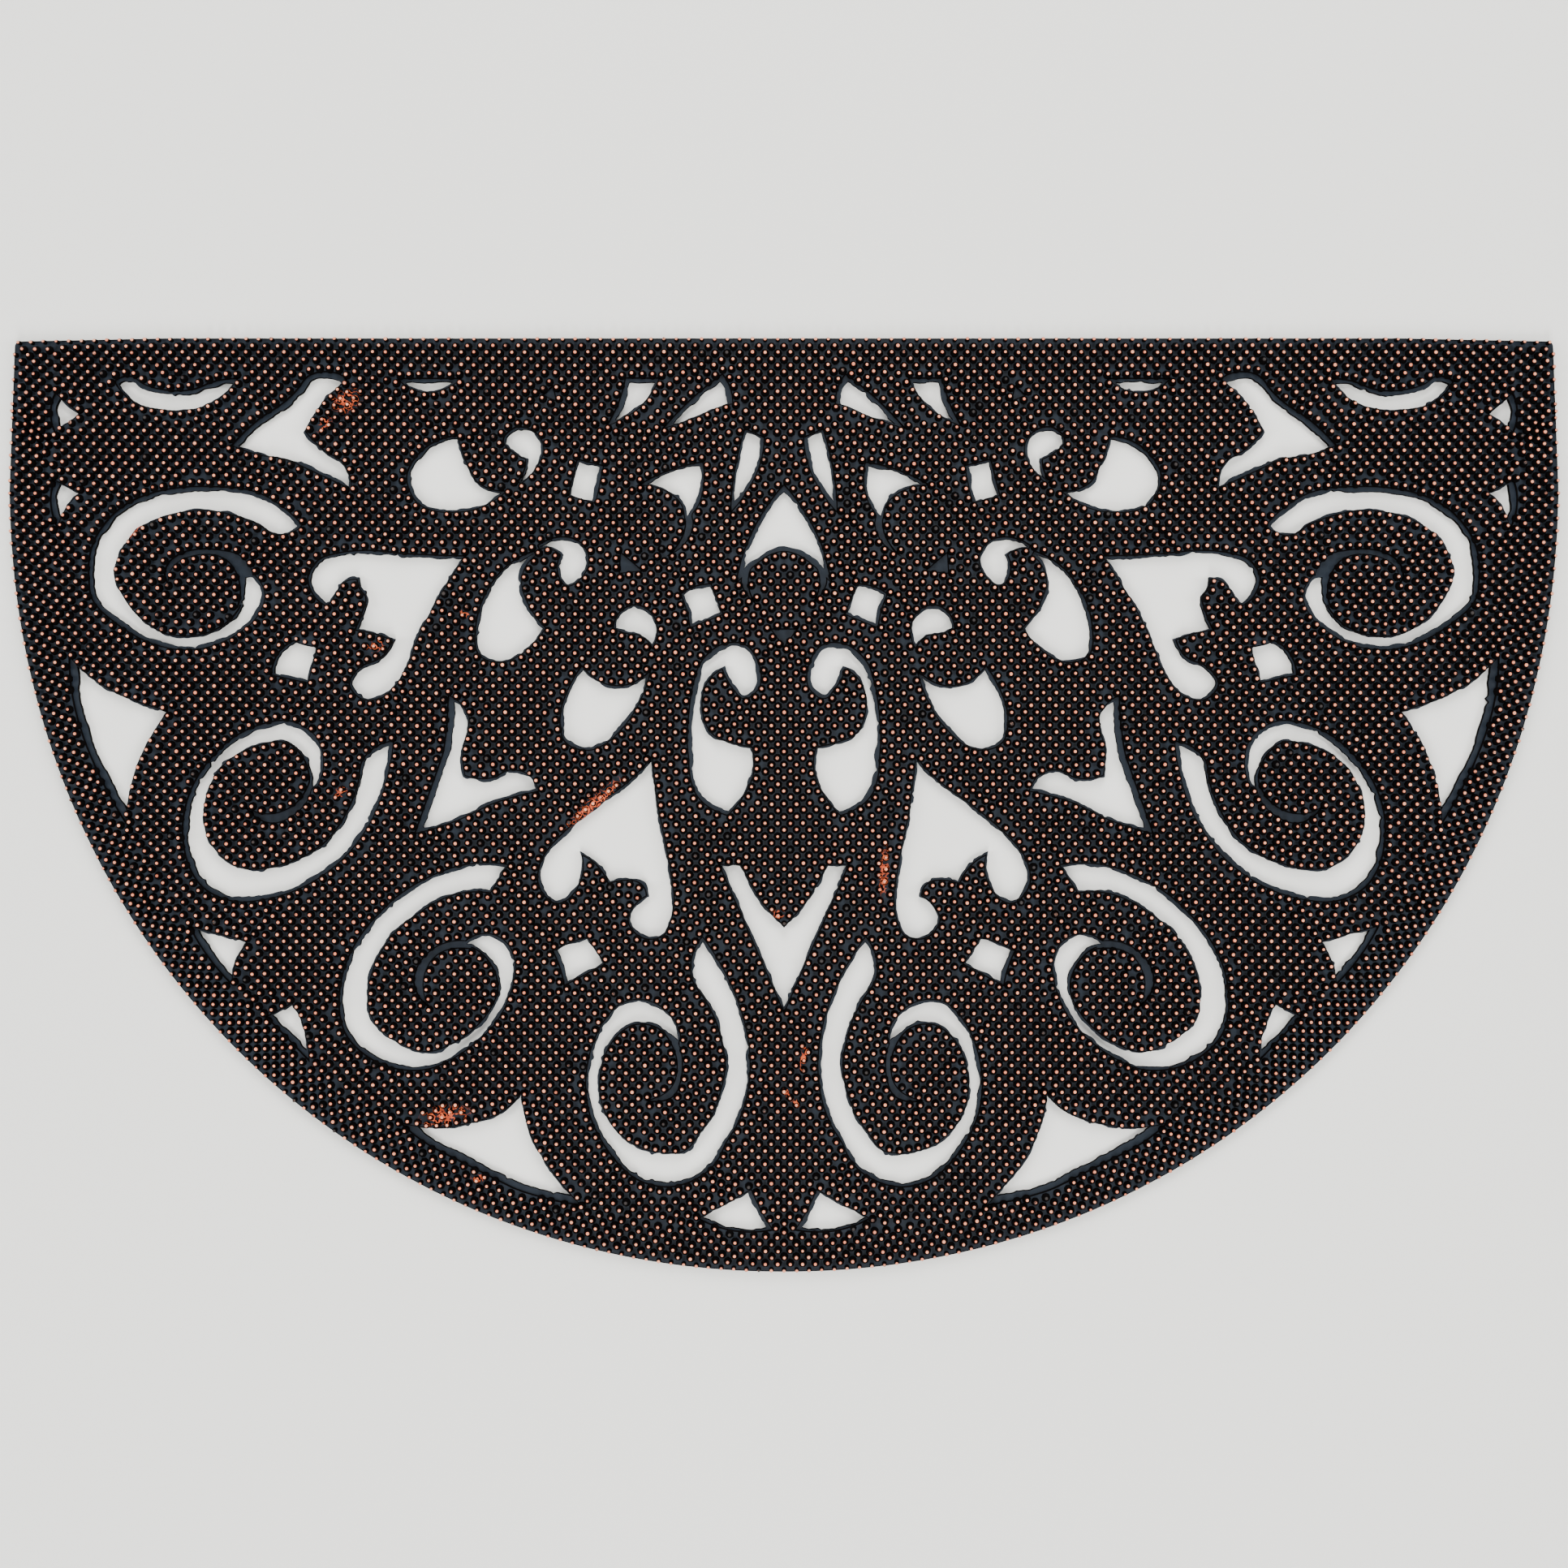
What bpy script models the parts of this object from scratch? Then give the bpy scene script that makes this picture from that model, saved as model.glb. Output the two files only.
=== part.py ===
"""A half-round rubber doormat: one moulded sheet with an open scroll pattern.

Metres, +Z up, origin at the middle of the mat's box on the floor, +Y towards the straight edge.
The drawing below is in millimetres: "out" from the mirror axis and "down" from the straight edge.
"""

import math
from collections import namedtuple

import bmesh
import bpy
import numpy as np

MM = 0.001

# Driving sizes
WIDTH = 750.0
DEPTH = 452.0
TOP_OF_PINS = 8.0
WEB_THICKNESS = 3.0
LAND_THICKNESS = 3.5
CUTTER_REACH = 2.0

# Outline: a drawn-out half ellipse below the shoulder and a leaning side above it
SHOULDER = 71.5
ROUNDNESS = 2.04
SIDE_LEAN = 2.5
CORNER_RADIUS = 2.5
EDGE_DROOP = 1.5
DROOP_START = 300.0
ARC_STEPS = 44
CORNER_STEPS = 3

# How finely the curves are drawn
STEPS_BETWEEN_POINTS = 8
TOLERANCE = 0.4
LONGEST_TIP = 3.5
ON_AXIS = 0.05
PARALLEL = 1e-6
WELD_DISTANCE = 1e-6

# One side of an opening: the web left along it, its first corner and the points it bends through
Side = namedtuple("Side", "ledge corner bends")

# Blades: pointed openings with bowed sides, between the scrolls and the border
BLADES = {
    "upper_barb": (
        Side(0.5, (351, 29), ()),
        Side(0.5, (342, 36.5), ()),
        Side(2.4, (351, 43), ((352.5, 35.5),)),
    ),
    "lower_barb": (
        Side(0.5, (351, 70.5), ()),
        Side(0.5, (342, 75), ((347, 80),)),
        Side(2.4, (350.5, 87.5), ((352.5, 78.5),)),
    ),
    "sickle": (
        Side(1.6, (322.5, 22), ((317.5, 20), (310.5, 24), (298, 27), (286, 26.5), (275, 22.5))),
        Side(0.4, (267, 21.5), ((273.5, 28.5), (287.5, 34), (303.5, 33.5), (315, 30))),
    ),
    "side_sail": (
        Side(0.6, (342.5, 158.5), ((325.5, 171.5), (309.5, 178))),
        Side(0.4, (299.5, 181), ((305.5, 190), (315, 210))),
        Side(3.0, (318.5, 228.5), ((331, 205), (341.5, 171.5))),
    ),
    "low_sail": (
        Side(0.5, (178, 381.5), ((157.5, 382), (143.5, 377), (132.5, 372.5))),
        Side(0.5, (127.5, 366.5), ((124, 384), (114.5, 401.5))),
        Side(3.0, (103, 415.5), ((125.5, 410), (150.5, 398), (169.5, 388))),
    ),
    "side_thorn": (
        Side(0.6, (284, 286.5), ((272, 290),)),
        Side(0.6, (261, 292.5), ((266, 301.5),)),
        Side(2.2, (267.5, 309), ((278, 296.5),)),
    ),
    "low_thorn": (
        Side(0.6, (248, 328), ()),
        Side(0.6, (238.5, 323), ((234.5, 330.5),)),
        Side(2.0, (231.5, 345), ((239.5, 336.5),)),
    ),
    "foot_thorn": (
        Side(0.6, (39.5, 426), ((27, 419),)),
        Side(2.0, (17.5, 414), ((13, 423.5),)),
        Side(0.8, (8.5, 431), ((25, 431),)),
    ),
    "top_slit": (
        Side(1.4, (183.5, 21), ()),
        Side(0.6, (160.5, 21), ((171, 25.5), (178.5, 24.5))),
    ),
    "top_drop": (
        Side(1.6, (75, 21), ()),
        Side(0.8, (62.5, 21), ((68, 30),)),
        Side(2.0, (82, 39.5), ((77.5, 30.5),)),
    ),
    "shield_wedge": (
        Side(2.4, (31, 20.5), ((28.5, 25),)),
        Side(0.4, (27.5, 31.5), ((39.5, 36.5),)),
        Side(1.6, (54, 41.5), ((46.5, 33.5),)),
    ),
    "shield_fang": (
        Side(0.6, (18, 45), ()),
        Side(1.8, (11.5, 48), ((14, 61.5),)),
        Side(1.0, (24, 78.5), ((22, 60.5),)),
    ),
    "leaf": (
        Side(1.0, (41, 61.5), ((55, 65),)),
        Side(1.0, (66.5, 70.5), ((54.5, 74), (48.5, 80))),
        Side(1.6, (47, 86), ((42.5, 78.5),)),
    ),
    "branch_outer": (
        Side(2.0, (264.5, 52), ((250.5, 39), (240.5, 32.5))),
        Side(1.8, (230, 21), ()),
        Side(0.5, (214.5, 21.5), ((224, 31), (230, 39.5))),
        Side(1.0, (233, 45.5), ((222.5, 56), (214, 61.5))),
        Side(0.6, (211, 71.5), ((222.5, 66.5), (240.5, 58), (254.5, 55.5))),
    ),
    "branch_inner": (
        Side(0.8, (160, 176), ((154.5, 181), (156.5, 199.5))),
        Side(0.8, (155.5, 212.5), ((142, 214), (131.5, 210), (124.5, 212))),
        Side(1.4, (120.5, 218), ((139.5, 223), (159, 232))),
        Side(2.4, (175, 237), ((170, 223), (163.5, 204.5), (160.5, 186.5))),
    ),
}

# Lozenges: four straight sides
LOZENGES = {
    "side_lozenge": (
        Side(0.6, (237, 147.5), ()),
        Side(0.6, (227, 150), ()),
        Side(1.0, (231, 165.5), ()),
        Side(1.0, (247, 162), ((243, 152),)),
    ),
    "low_lozenge": (
        Side(0.6, (110, 296.5), ((102, 293),)),
        Side(0.6, (95.5, 291), ()),
        Side(0.8, (88, 302.5), ()),
        Side(1.6, (105, 311.5), ((106.5, 305),)),
    ),
    "high_lozenge": (
        Side(0.6, (99.5, 59.5), ()),
        Side(1.8, (89.5, 62), ()),
        Side(0.6, (93, 78.5), ()),
        Side(0.6, (103.5, 75.5), ()),
    ),
    "heart_lozenge": (
        Side(0.8, (48.5, 124), ((42.5, 121),)),
        Side(0.8, (36, 120), ()),
        Side(1.4, (31, 132.5), ()),
        Side(1.2, (44.5, 138), ((46, 130.5),)),
    ),
}

# Scrolls: hooks, drops and half hearts, with a round end and a tail
SCROLLS = {
    "high_heart": (
        Side(1.0, (156, 106.5), ((183, 105.5), (211, 104.5), (225.5, 109), (229.5, 117), (226, 124),
                                 (222, 128), (217.5, 122), (212.5, 116.5))),
        Side(0.8, (206, 115.5), ((203.5, 122.5),)),
        Side(0.8, (201.5, 125), ((203.5, 133.5),)),
        Side(0.8, (206.5, 140.5), ((196.5, 142.5),)),
        Side(0.8, (188.5, 145.5), ((193.5, 154.5), (205, 160.5), (209.5, 167), (204.5, 173.5),
                                   (195, 173), (186.5, 164), (177, 142), (166, 121.5))),
    ),
    "low_heart": (
        Side(0.8, (64.5, 205), ((61.5, 229.5), (56, 259), (55, 278.5), (60, 289), (69, 289),
                                (74.5, 281.5), (71, 274.5))),
        Side(0.8, (65.5, 270.5), ((69, 263), (74.5, 261.5))),
        Side(0.8, (84.5, 263), ((88.5, 256),)),
        Side(1.0, (99, 248.5), ((101, 259), (103, 268.5), (110, 272.5), (117.5, 265), (116.5, 253.5),
                                (108, 242.5), (91.5, 228), (74, 215))),
    ),
    "shell": (
        Side(1.0, (158.5, 48.5), ((172.5, 53.5), (181.5, 67.5), (177, 78.5), (159, 83), (144.5, 79.5))),
        Side(0.8, (137, 74.5), ((148.5, 71), (155, 59))),
    ),
    "shell_drop": (
        Side(0.8, (128, 69.5), ((124.5, 63),)),
        Side(0.8, (124, 58), ((129.5, 54.5), (135, 50), (129.5, 44), (121.5, 46), (117.5, 52),
                              (121, 62.5))),
    ),
    "hook_drop": (
        Side(0.8, (121, 104), ((129.5, 108), (142, 121), (148, 138), (146.5, 153), (137.5, 156),
                               (127, 151.5))),
        Side(1.2, (117, 140.5), ((125.5, 128.5), (128.5, 118.5), (126.5, 110))),
    ),
    "hook": (
        Side(0.8, (118.5, 101), ((110.5, 97.5), (102, 98), (96.5, 103), (95.5, 107), (99.5, 116),
                                 (105, 119), (108.5, 113.5))),
        Side(0.8, (107, 104.5), ((113, 101),)),
    ),
    "crescent": (
        Side(0.8, (81.5, 140), ((78.5, 133), (72.5, 130), (66, 132.5), (62.5, 139.5))),
        Side(0.8, (64, 148), ((69, 143), (75.5, 142))),
    ),
    "bowl": (
        Side(0.8, (97.5, 160.5), ((87.5, 168), (77, 169))),
        Side(1.2, (67, 164), ((71, 175), (81, 189.5), (94.5, 198), (104.5, 195), (107, 184),
                              (102.5, 169))),
    ),
    "long_hook": (
        Side(0.6, (28.5, 158.5), ((37.5, 165.5), (40.5, 179), (35, 192.5), (25, 196.5))),
        Side(0.8, (16.5, 198.5), ((15.5, 209), (20.5, 221))),
        Side(1.8, (27, 229), ((40, 221), (44.5, 201.5), (43, 175), (37.5, 156.5), (29, 150), (20, 150),
                              (14, 158.5), (14, 168.5), (19, 172.5), (24.5, 165.5))),
    ),
}

# Rings: open bands that turn about a centre, from their arm's end to their tail
Ring = namedtuple("Ring", "centre inner_ledge outer_ledge turns")

# Each turn: its angle in degrees from the line to the mirror axis, and the band's two radii
Turn = namedtuple("Turn", "angle inner outer")

RINGS = {
    "shoulder_ring": Ring((292, 113.5), 0.5, 1.8, (
        Turn(22, 50.5, 60.5), Turn(45, 39.5, 52), Turn(75, 32, 41), Turn(105, 29, 39),
        Turn(135, 30, 41), Turn(165, 32, 43), Turn(180, 33, 42.5), Turn(195, 30.5, 43),
        Turn(210, 30.5, 39.5), Turn(225, 30, 35.5), Turn(255, 31, 35), Turn(285, 32, 36),
        Turn(315, 33.5, 38.5), Turn(330, 33.5, 40.5), Turn(345, 32, 40), Turn(356, 31, 34),
    )),
    "side_ring": Ring((248.5, 231.5), 0.6, 1.8, (
        Turn(31, 53, 66.5), Turn(15, 43, 55), Turn(0, 36.5, 47.5), Turn(-30, 29, 38.5),
        Turn(-60, 25, 35.5), Turn(-90, 25.5, 37.5), Turn(-120, 29.5, 44), Turn(-135, 31, 45.5),
        Turn(-165, 33, 42), Turn(-195, 33.5, 39), Turn(-225, 34.5, 38.5), Turn(-255, 35.5, 41.5),
        Turn(-285, 37, 45), Turn(-300, 33, 42), Turn(-315, 27.5, 33), Turn(-324, 24.5, 25.5),
    )),
    "hip_ring": Ring((173, 314), 0.8, 1.2, (
        Turn(57, 55.5, 69), Turn(75, 47, 59), Turn(90, 39.5, 51), Turn(105, 34.5, 45.5),
        Turn(120, 31.5, 41.5), Turn(150, 28.5, 39), Turn(180, 29, 40.5), Turn(210, 31.5, 44),
        Turn(240, 31, 42), Turn(270, 32.5, 38.5), Turn(300, 31, 34.5), Turn(330, 32.5, 36),
        Turn(360, 35.5, 40), Turn(375, 34.5, 43), Turn(390, 32, 42.5), Turn(400, 30.5, 38),
        Turn(407, 28, 29),
    )),
    "foot_ring": Ring((56.5, 361.5), 0.8, 1.2, (
        Turn(76, 53.5, 71), Turn(60, 43, 57.5), Turn(45, 37, 49), Turn(30, 32, 43.5),
        Turn(15, 30, 40), Turn(0, 27.5, 38), Turn(-30, 27, 37.5), Turn(-45, 27.5, 38.5),
        Turn(-60, 30, 43.5), Turn(-75, 34, 46.5), Turn(-90, 34, 48), Turn(-105, 34, 47),
        Turn(-135, 34, 41), Turn(-165, 34, 38.5), Turn(-195, 34, 38.5), Turn(-225, 35, 42),
        Turn(-240, 34.5, 44), Turn(-255, 31, 41), Turn(-270, 25.5, 33.5), Turn(-283, 22, 23),
    )),
}

# Openings that cross the mirror axis: the sides of their left half, from the axis round to it
CENTRE = {
    "teardrop": (
        Side(1.6, (0, 74), ((7, 84), (15, 97))),
        Side(2.4, (19.5, 111.5), ((14, 106.5), (7, 102))),
        Side(0.0, (0, 100.5), ()),
    ),
    "tulip": (
        Side(0.8, (0, 285.5), ((9, 276.5), (17, 264.5))),
        Side(0.6, (21.5, 255.5), ()),
        Side(0.8, (30, 255.5), ((20, 278), (8.5, 304.5))),
        Side(0.0, (0, 324), ()),
    ),
}

# Places left uncut: the web shows here as a sunk patch without pins
LANDS = {
    "shoulder_tail": (
        Side(0.0, (257.5, 114), ((262, 106.5), (276, 102.5), (292, 104.5), (299.5, 112))),
        Side(0.0, (298.5, 118), ((296.5, 111), (286, 105), (270, 107), (263.5, 118))),
        Side(0.0, (264.5, 130), ((258, 124),)),
    ),
    "side_tail": (
        Side(0.0, (228, 216.5), ((236, 229.5), (248.5, 234.5))),
        Side(0.0, (260, 227.5), ((250.5, 230.5), (236.5, 225.5))),
        Side(0.0, (229.5, 214), ()),
    ),
    "hip_tail": (
        Side(0.0, (153.5, 292), ((165.5, 293.5), (176, 302), (179, 311))),
        Side(0.0, (172.5, 323), ((175, 311.5), (169.5, 299.5))),
        Side(0.0, (151, 295.5), ()),
    ),
    "foot_tail": (
        Side(0.0, (52, 339), ((49.5, 353.5), (54, 367))),
        Side(0.0, (65.5, 369), ((53.5, 361.5), (51.5, 351.5), (58.5, 335.5))),
        Side(0.0, (62, 332), ()),
    ),
    "leaf_tail": (
        Side(0.0, (45, 83), ((44.5, 91.5), (48, 99))),
        Side(0.0, (54.5, 104), ((49.5, 97), (47.5, 90.5))),
        Side(0.0, (48.5, 83.5), ()),
    ),
    "teardrop_tail": (
        Side(0.0, (17.5, 108), ((20.5, 115.5),)),
        Side(0.0, (15, 127), ((17.5, 119),)),
        Side(0.0, (15, 108.5), ()),
    ),
    "small_land": (
        Side(0.0, (112, 23.5), ()),
        Side(0.0, (110.5, 30), ()),
        Side(0.0, (116.5, 27.5), ()),
    ),
    "hook_land": (
        Side(0.0, (79, 104), ()),
        Side(0.0, (79.5, 113.5), ()),
        Side(0.0, (69, 112.5), ()),
    ),
}

CENTRE_LAND = (
    Side(0.0, (0, 141), ()),
    Side(0.0, (6, 141), ()),
    Side(0.0, (0, 149), ()),
)

RUBBER_COLOUR = (0.012, 0.014, 0.017)
RUBBER_ROUGHNESS = 0.55


def clear_scene():
    """Remove whatever objects the file opened with."""
    for existing in list(bpy.data.objects):
        bpy.data.objects.remove(existing, do_unlink=True)


def new_collection(name):
    """A collection linked to the scene."""
    collection = bpy.data.collections.new(name)
    bpy.context.scene.collection.children.link(collection)
    return collection


def rubber():
    """Black moulded rubber."""
    material = bpy.data.materials.new("moulded_black_rubber")
    material.use_nodes = True
    shader = material.node_tree.nodes["Principled BSDF"]
    shader.inputs["Base Color"].default_value = (*RUBBER_COLOUR, 1.0)
    shader.inputs["Roughness"].default_value = RUBBER_ROUGHNESS
    shader.inputs["Metallic"].default_value = 0.0
    return material


def smooth_line(points):
    """Points along a smooth curve through the given ones, its slope set by their spacing."""
    knots = np.array(points, float)
    if len(knots) < 3:
        return knots
    spans = np.linalg.norm(np.diff(knots, axis=0), axis=1)
    secants = np.diff(knots, axis=0) / spans[:, None]
    slopes = np.empty_like(knots)
    before, after = spans[:-1, None], spans[1:, None]
    slopes[1:-1] = (secants[:-1] * after + secants[1:] * before) / (before + after)
    slopes[0] = 2 * secants[0] - slopes[1]
    slopes[-1] = 2 * secants[-1] - slopes[-2]
    line = []
    for index, span in enumerate(spans):
        for step in range(STEPS_BETWEEN_POINTS):
            t = step / STEPS_BETWEEN_POINTS
            rise = t * t * (3 - 2 * t)
            line.append(knots[index] * (1 - rise) + knots[index + 1] * rise
                        + slopes[index] * span * t * (1 - t) ** 2
                        - slopes[index + 1] * span * t * t * (1 - t))
    line.append(knots[-1])
    return np.array(line)


def kept_places(line, first, last):
    """Where to keep points of a line, so that the rest lie within the tolerance of straight runs."""
    start, run = line[first], line[last] - line[first]
    away = line[first + 1:last] - start
    if len(away) == 0:
        return [first, last]
    distance = np.abs(away[:, 0] * run[1] - away[:, 1] * run[0]) / max(np.hypot(*run), PARALLEL)
    worst = first + 1 + int(np.argmax(distance))
    if distance[worst - first - 1] < TOLERANCE:
        return [first, last]
    return kept_places(line, first, worst)[:-1] + kept_places(line, worst, last)


def thin_out(line):
    """An open line with only the points that its shape needs."""
    return line[kept_places(line, 0, len(line) - 1)]


def side_lines(sides):
    """Each side as a line of points that ends on the next side's corner, with its ledge."""
    lines = []
    for side, following in zip(sides, sides[1:] + sides[:1]):
        line = smooth_line([side.corner, *side.bends, following.corner])
        lines.append((line, side.ledge))
    return lines


def ring_lines(ring):
    """A ring's outer and inner edges and its two blunt ends, with their ledges."""
    angles = np.radians([turn.angle for turn in ring.turns])
    centre = np.array(ring.centre)
    heading = np.stack([-np.cos(angles), -np.sin(angles)], axis=1)
    outer = smooth_line(centre + heading * np.array([[turn.outer] for turn in ring.turns]))
    inner = smooth_line(centre + heading * np.array([[turn.inner] for turn in ring.turns]))
    end_ledge = min(ring.inner_ledge, ring.outer_ledge)
    return [
        (outer, ring.outer_ledge),
        (np.array([outer[-1], inner[-1]]), end_ledge),
        (inner[::-1], ring.inner_ledge),
        (np.array([inner[0], outer[0]]), end_ledge),
    ]


def signed_area(outline):
    """Twice the outline's area, positive when it runs anticlockwise."""
    x, y = outline[:, 0], outline[:, 1]
    return float(np.dot(x, np.roll(y, -1)) - np.dot(y, np.roll(x, -1)))


def opening_outline(lines):
    """The cut edge: the sides one after another."""
    return np.vstack([thin_out(line)[:-1] for line, _ in lines])


def moved_out(line, ledge, outward):
    """A side moved out by its ledge, at the points that its shape needs."""
    along = np.gradient(line, axis=0)
    along /= np.linalg.norm(along, axis=1)[:, None]
    normal = np.stack([along[:, 1], -along[:, 0]], axis=1) * outward
    return (line + normal * ledge)[kept_places(line, 0, len(line) - 1)]


def meeting_point(start, end, other_start, other_end, within_both):
    """Where two lines cross, or None: within both stretches, or past their ends."""
    run, other_run = end - start, other_end - other_start
    turn = run[0] * other_run[1] - run[1] * other_run[0]
    if abs(turn) < PARALLEL:
        return None
    gap = other_start - start
    reach = (gap[0] * other_run[1] - gap[1] * other_run[0]) / turn
    other_reach = (gap[0] * run[1] - gap[1] * run[0]) / turn
    if within_both and not (0 <= reach <= 1 and 0 <= other_reach <= 1):
        return None
    if not within_both and not (reach >= 1 and other_reach <= 0):
        return None
    return start + run * reach


def corner_between(line, following, corner, reach):
    """How two moved sides meet: points kept of the first, points dropped of the next, the corner."""
    for last in reversed(range(len(line) - 1)):
        for first in range(len(following) - 1):
            place = meeting_point(line[last], line[last + 1], following[first], following[first + 1], True)
            if place is not None and np.hypot(*(place - corner)) < reach:
                return last + 1, first + 1, place
    tip = meeting_point(line[-2], line[-1], following[0], following[1], False)
    if tip is not None and np.hypot(*(tip - corner)) < reach:
        return len(line) - 1, 1, tip
    return len(line), 0, None


def cell_outline(lines):
    """The moulded step round an opening: each side moved out by its ledge, the tips drawn out."""
    whole = np.vstack([line[:-1] for line, _ in lines])
    outward = 1.0 if signed_area(whole) > 0 else -1.0
    moved = [moved_out(line, ledge, outward) for line, ledge in lines]
    ledges = [ledge for _, ledge in lines]
    corners = []
    for index, line in enumerate(moved):
        following = (index + 1) % len(moved)
        reach = LONGEST_TIP * max(ledges[index], ledges[following])
        corners.append(corner_between(line, moved[following], lines[index][0][-1], reach))
    outline = []
    for index, line in enumerate(moved):
        dropped = corners[index - 1][1]
        kept, _, tip = corners[index]
        outline.extend(line[dropped:kept])
        if tip is not None:
            outline.append(tip)
    return np.array(outline)


def mat_outline():
    """The mat's right half from the bottom middle up to the straight edge's middle."""
    half = WIDTH / 2
    points = []
    for step in range(ARC_STEPS + 1):
        angle = math.radians(90) * (1 - step / ARC_STEPS)
        out = half * math.cos(angle) ** (2 / ROUNDNESS) if step else 0.0
        fall = (DEPTH - SHOULDER) * math.sin(angle) ** (2 / ROUNDNESS) if step < ARC_STEPS else 0.0
        points.append((out, SHOULDER + fall))
    corner_out, corner_down = half - SIDE_LEAN, EDGE_DROOP
    for step in range(CORNER_STEPS + 1):
        angle = math.radians(90) * step / CORNER_STEPS
        points.append((corner_out - CORNER_RADIUS * (1 - math.cos(angle)),
                       corner_down + CORNER_RADIUS * (1 - math.sin(angle))))
    points.append((DROOP_START, 0.0))
    right = np.array(points)
    left = right[1:][::-1] * (-1, 1)
    return np.vstack([right, left])


def to_part(outline):
    """Drawing millimetres to the part's metres."""
    return [(out * MM, (DEPTH / 2 - down) * MM) for out, down in outline]


def mirrored(outline):
    """The same outline on the other side of the mirror axis."""
    return outline * (-1, 1)


def closed_over_axis(outline):
    """A half outline that starts and ends on the axis, with its mirror image added."""
    off_axis = outline[:, 0] > ON_AXIS
    first = next(i for i in range(len(outline)) if off_axis[i] and not off_axis[i - 1])
    outline, off_axis = np.roll(outline, -first, axis=0), np.roll(off_axis, -first)
    half, on_axis = outline[off_axis], outline[~off_axis] * (0, 1)
    return np.vstack([on_axis[-1:], half, on_axis[:1], mirrored(half)[::-1]])


def plate(name, outlines, bottom, top, collection):
    """A flat solid with the given outlines, as a closed mesh between two heights in millimetres."""
    curve = bpy.data.curves.new(name, "CURVE")
    curve.dimensions = "2D"
    curve.fill_mode = "BOTH"
    curve.extrude = (top - bottom) / 2 * MM
    for outline in outlines:
        spline = curve.splines.new("POLY")
        spline.points.add(len(outline) - 1)
        for point, (x, y) in zip(spline.points, to_part(outline)):
            point.co = (x, y, 0.0, 1.0)
        spline.use_cyclic_u = True
    drawn = bpy.data.objects.new(name + "_curve", curve)
    drawn.location.z = (top + bottom) / 2 * MM
    collection.objects.link(drawn)
    bpy.context.view_layer.update()
    evaluated = drawn.evaluated_get(bpy.context.evaluated_depsgraph_get())
    mesh = bpy.data.meshes.new_from_object(evaluated)
    mesh.name = name
    shell = bmesh.new()
    shell.from_mesh(mesh)
    bmesh.ops.remove_doubles(shell, verts=shell.verts, dist=WELD_DISTANCE)
    bmesh.ops.recalc_face_normals(shell, faces=shell.faces)
    if shell.calc_volume(signed=True) < 0:
        bmesh.ops.reverse_faces(shell, faces=shell.faces)
    shell.to_mesh(mesh)
    shell.free()
    solid = bpy.data.objects.new(name, mesh)
    solid.matrix_world = drawn.matrix_world
    collection.objects.link(solid)
    bpy.data.objects.remove(drawn, do_unlink=True)
    bpy.data.curves.remove(curve)
    return solid


def both_sides(outlines):
    """Outlines of the drawn half and their mirror images."""
    return outlines + [mirrored(outline) for outline in outlines]


def pattern():
    """The cut edges, the moulded cells round them and the uncut lands, on both sides of the axis."""
    halves = [side_lines(sides) for table in (BLADES, LOZENGES, SCROLLS) for sides in table.values()]
    halves += [ring_lines(ring) for ring in RINGS.values()]
    centres = [side_lines(sides) for sides in CENTRE.values()]
    openings = both_sides([opening_outline(lines) for lines in halves])
    openings += [closed_over_axis(opening_outline(lines)) for lines in centres]
    cells = both_sides([cell_outline(lines) for lines in halves])
    cells += [closed_over_axis(cell_outline(lines)) for lines in centres]
    lands = both_sides([opening_outline(side_lines(sides)) for sides in LANDS.values()])
    lands.append(closed_over_axis(opening_outline(side_lines(CENTRE_LAND))))
    return openings, cells, lands


def cut(body, cutters):
    """Take every cutter in the collection out of the body."""
    boolean = body.modifiers.new("cut_" + cutters.name, "BOOLEAN")
    boolean.operation = "DIFFERENCE"
    boolean.solver = "EXACT"
    boolean.operand_type = "COLLECTION"
    boolean.collection = cutters


def add_cutters(name, outlines, bottom):
    """A collection of prisms, one for each outline, from the given height to above the pins."""
    collection = new_collection(name + "_cutters")
    for index, outline in enumerate(outlines):
        cutter = plate(f"{name}_{index:02d}", [outline], bottom, TOP_OF_PINS + CUTTER_REACH, collection)
        cutter.hide_render = True
        cutter.display_type = "WIRE"
    return collection


def main():
    """Build the mat: the pin field as one slab, sunk to the web in each cell and cut through."""
    clear_scene()
    parts = new_collection("half_round_rubber_doormat")
    openings, cells, lands = pattern()
    levels = (
        ("cell", cells, WEB_THICKNESS),
        ("land", lands, LAND_THICKNESS),
        ("opening", openings, -CUTTER_REACH),
    )
    cutters = [add_cutters(name, outlines, bottom) for name, outlines, bottom in levels]
    mat = plate("mat", [mat_outline()], 0.0, TOP_OF_PINS, parts)
    mat.data.materials.append(rubber())
    for collection in cutters:
        cut(mat, collection)


main()
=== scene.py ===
# %% [markdown]
# # A half-round rubber doormat
#
# The mat is one sheet of black rubber, pressed hot in a steel mould. Scroll ribbons carry thousands
# of short pins, and each pin has a dab of copper paint on its tip. Between the ribbons the mould
# leaves a thin web, which is cut out by hand, so that dirt falls through.
#
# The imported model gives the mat's size, its outline, the moulded step round every opening and the
# cut edge inside that step. This lesson reads those lines from it and builds the mat over them.
#
# Lengths on the mat are in millimetres, as on a drawing, and MM turns them into Blender's metres. The
# camera, the floor and the lamps are placed in metres.

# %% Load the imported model
import math

import bmesh
import bpy
import numpy as np
from mathutils import Matrix, Vector
from mathutils.kdtree import KDTree


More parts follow.
